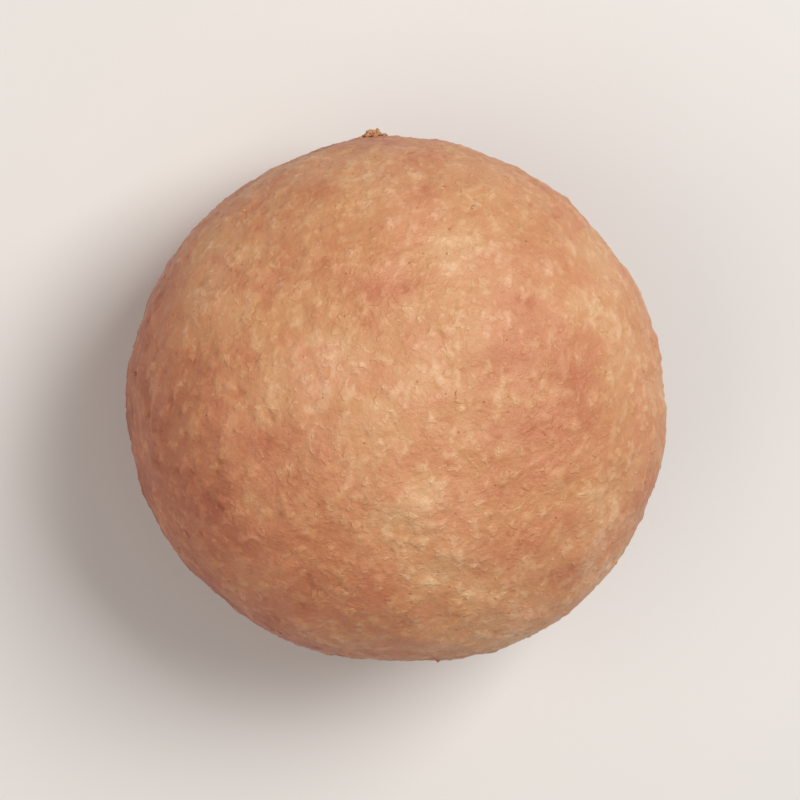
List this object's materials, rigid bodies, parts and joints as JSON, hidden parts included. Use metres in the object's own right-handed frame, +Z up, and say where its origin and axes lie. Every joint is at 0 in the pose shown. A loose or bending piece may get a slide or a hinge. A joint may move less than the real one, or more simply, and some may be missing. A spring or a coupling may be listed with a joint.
{
  "type": "mooncake",
  "caption": "Small round mooncake of baked short dough, domed, uncut and unprinted, with a pleated foot and a small flat base.",
  "frame": {"origin": "middle of the outline's box, on the plane of the flat base", "axes": "+Z up from the base through the crown; X and Y lie in the base plane, and the round outline has no front"},
  "size_m": [0.0506, 0.0494, 0.0355],
  "materials": {
    "crust": "satin"
  },
  "bodies": {
    "root": {"mooncake": "crust"}
  },
  "joints": []
}
